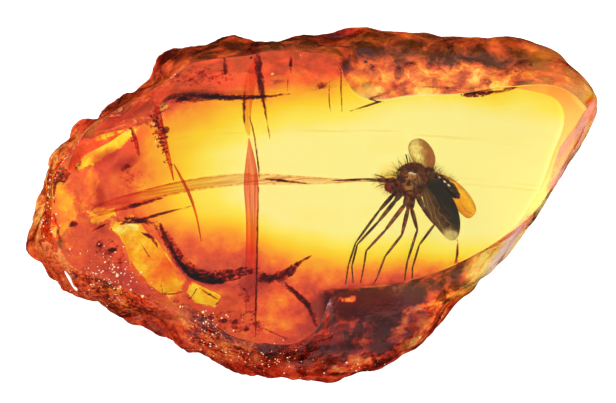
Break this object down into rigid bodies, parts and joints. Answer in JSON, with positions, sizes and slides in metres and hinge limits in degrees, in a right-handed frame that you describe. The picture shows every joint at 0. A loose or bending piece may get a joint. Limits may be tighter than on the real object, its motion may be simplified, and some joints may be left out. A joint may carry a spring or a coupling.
{
  "type": "amber specimen with a fly inclusion",
  "caption": "Lump of clear golden amber with a polished front, a flat back and a broken reddish rim, and a small long-legged fly sealed inside.",
  "frame": {"origin": "centre of the bounding box in X and Y, at the flat back that the stone rests on", "axes": "+X along the stone, towards its smooth end and to the right as the polished front is looked at; +Y across it; +Z from the flat back to the polished front"},
  "size_m": [0.036, 0.0224, 0.0104],
  "materials": {
    "amber": "clear, polished on front and back, broken and dull round the rim",
    "fly": "dark brown chitin with a low shine",
    "stain": "dull red-brown stain in the cracks"
  },
  "bodies": {
    "root": {"amber_back_half": "amber", "amber_front_half": "amber", "fly": "fly", "main_crack": "stain", "lower_stain": "stain", "upper_stain": "stain"}
  },
  "joints": []
}
